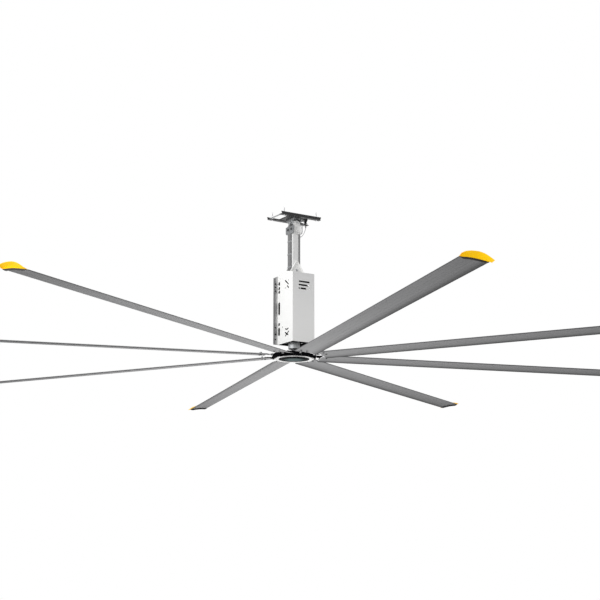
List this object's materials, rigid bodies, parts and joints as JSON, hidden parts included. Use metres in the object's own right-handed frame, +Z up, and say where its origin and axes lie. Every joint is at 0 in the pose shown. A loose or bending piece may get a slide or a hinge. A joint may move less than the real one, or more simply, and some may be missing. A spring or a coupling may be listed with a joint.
{
  "type": "high volume low speed ceiling fan",
  "caption": "Large slow-turning ceiling fan: long extruded blades with upturned tip fins, a geared motor in a sheet frame, and a square drop tube on a tilting beam mount.",
  "frame": {"origin": "middle of the beam seat, the top face of the mounting plate", "axes": "+Z up along the drop tube's axis, +X along the angle irons and the width of the motor frame's slotted front, which faces -Y"},
  "size_m": [7.2224, 7.2224, 1.3168],
  "materials": {
    "plate_zinc": "zinc plated, satin",
    "iron_black": "black, satin",
    "fastener_steel": "dark zinc",
    "shaft_steel": "machined",
    "cross_cast": "cast",
    "gearbox_cast": "cast, matt",
    "tube_white": "white powder coat",
    "frame_grey": "light grey powder coat",
    "base_black": "black, satin",
    "motor_paint": "blue grey paint, matt",
    "stator_stack": "varnished laminations and copper",
    "ring_white": "white, satin",
    "cap_gloss": "dark, glossy",
    "blade_metal": "satin extruded",
    "strut_black": "black, satin",
    "fin_yellow": "moulded, satin"
  },
  "bodies": {
    "mount": {"mounting_plate": "iron_black", "front_angle_iron": "iron_black", "rear_angle_iron": "iron_black", "clamp_stud_1": "fastener_steel", "clamp_stud_2": "fastener_steel", "clamp_stud_3": "fastener_steel", "clamp_stud_4": "fastener_steel", "tie_strap": "plate_zinc", "upper_yoke": "plate_zinc", "cable_bracket": "iron_black", "cable_ring": "iron_black"},
    "swivel": {"swivel_cross": "cross_cast", "safety_cable": "shaft_steel"},
    "housing": {"lower_yoke": "plate_zinc", "drop_tube": "tube_white", "tube_bolt_1": "fastener_steel", "tube_bolt_2": "fastener_steel", "gusset_bolt": "fastener_steel", "front_gusset": "tube_white", "rear_gusset": "tube_white", "motor_frame": "frame_grey", "rear_cover": "frame_grey", "top_plate": "frame_grey", "base_plate": "base_black", "gearbox_housing": "gearbox_cast", "output_bearing": "shaft_steel", "motor_housing": "motor_paint", "stator": "stator_stack", "motor_cowl": "motor_paint", "terminal_box": "motor_paint"},
    "motor_rotor": {"motor_rotor": "shaft_steel"},
    "layshaft": {"layshaft": "shaft_steel"},
    "rotor": {"output_shaft": "shaft_steel", "hub": "base_black", "hub_ring": "ring_white", "hub_cap": "cap_gloss", "blade_1": "blade_metal", "blade_2": "blade_metal", "blade_3": "blade_metal", "blade_4": "blade_metal", "blade_5": "blade_metal", "blade_6": "blade_metal", "blade_7": "blade_metal", "blade_8": "blade_metal", "blade_strut_1": "strut_black", "blade_strut_2": "strut_black", "blade_strut_3": "strut_black", "blade_strut_4": "strut_black", "blade_strut_5": "strut_black", "blade_strut_6": "strut_black", "blade_strut_7": "strut_black", "blade_strut_8": "strut_black", "winglet_1": "fin_yellow", "winglet_2": "fin_yellow", "winglet_3": "fin_yellow", "winglet_4": "fin_yellow", "winglet_5": "fin_yellow", "winglet_6": "fin_yellow", "winglet_7": "fin_yellow", "winglet_8": "fin_yellow"}
  },
  "joints": [
    {"name": "swivel_tilt_x", "type": "hinge", "parent": "mount", "child": "swivel", "pos_m": [0, 0, -0.047], "axis": [1, 0, 0], "range_deg": [-15, 15], "deforming": ["safety_cable"]},
    {"name": "swivel_tilt_y", "type": "hinge", "parent": "swivel", "child": "housing", "pos_m": [0, 0, -0.047], "axis": [0, 1, 0], "range_deg": [-15, 15], "deforming": ["safety_cable"]},
    {"name": "rotor_spin", "type": "hinge", "parent": "housing", "child": "rotor", "pos_m": [0, 0, -1.222], "axis": [0, 0, 1], "continuous": true},
    {"name": "layshaft_spin", "type": "hinge", "parent": "housing", "child": "layshaft", "pos_m": [0.048, 0, -1.08], "axis": [0, 0, 1], "continuous": true},
    {"name": "motor_spin", "type": "hinge", "parent": "housing", "child": "motor_rotor", "pos_m": [0, 0, -0.9], "axis": [0, 0, 1], "continuous": true}
  ],
  "couplings": [
    {"joint": "layshaft_spin", "follows": "rotor_spin", "ratio": -4},
    {"joint": "motor_spin", "follows": "rotor_spin", "ratio": 16}
  ]
}
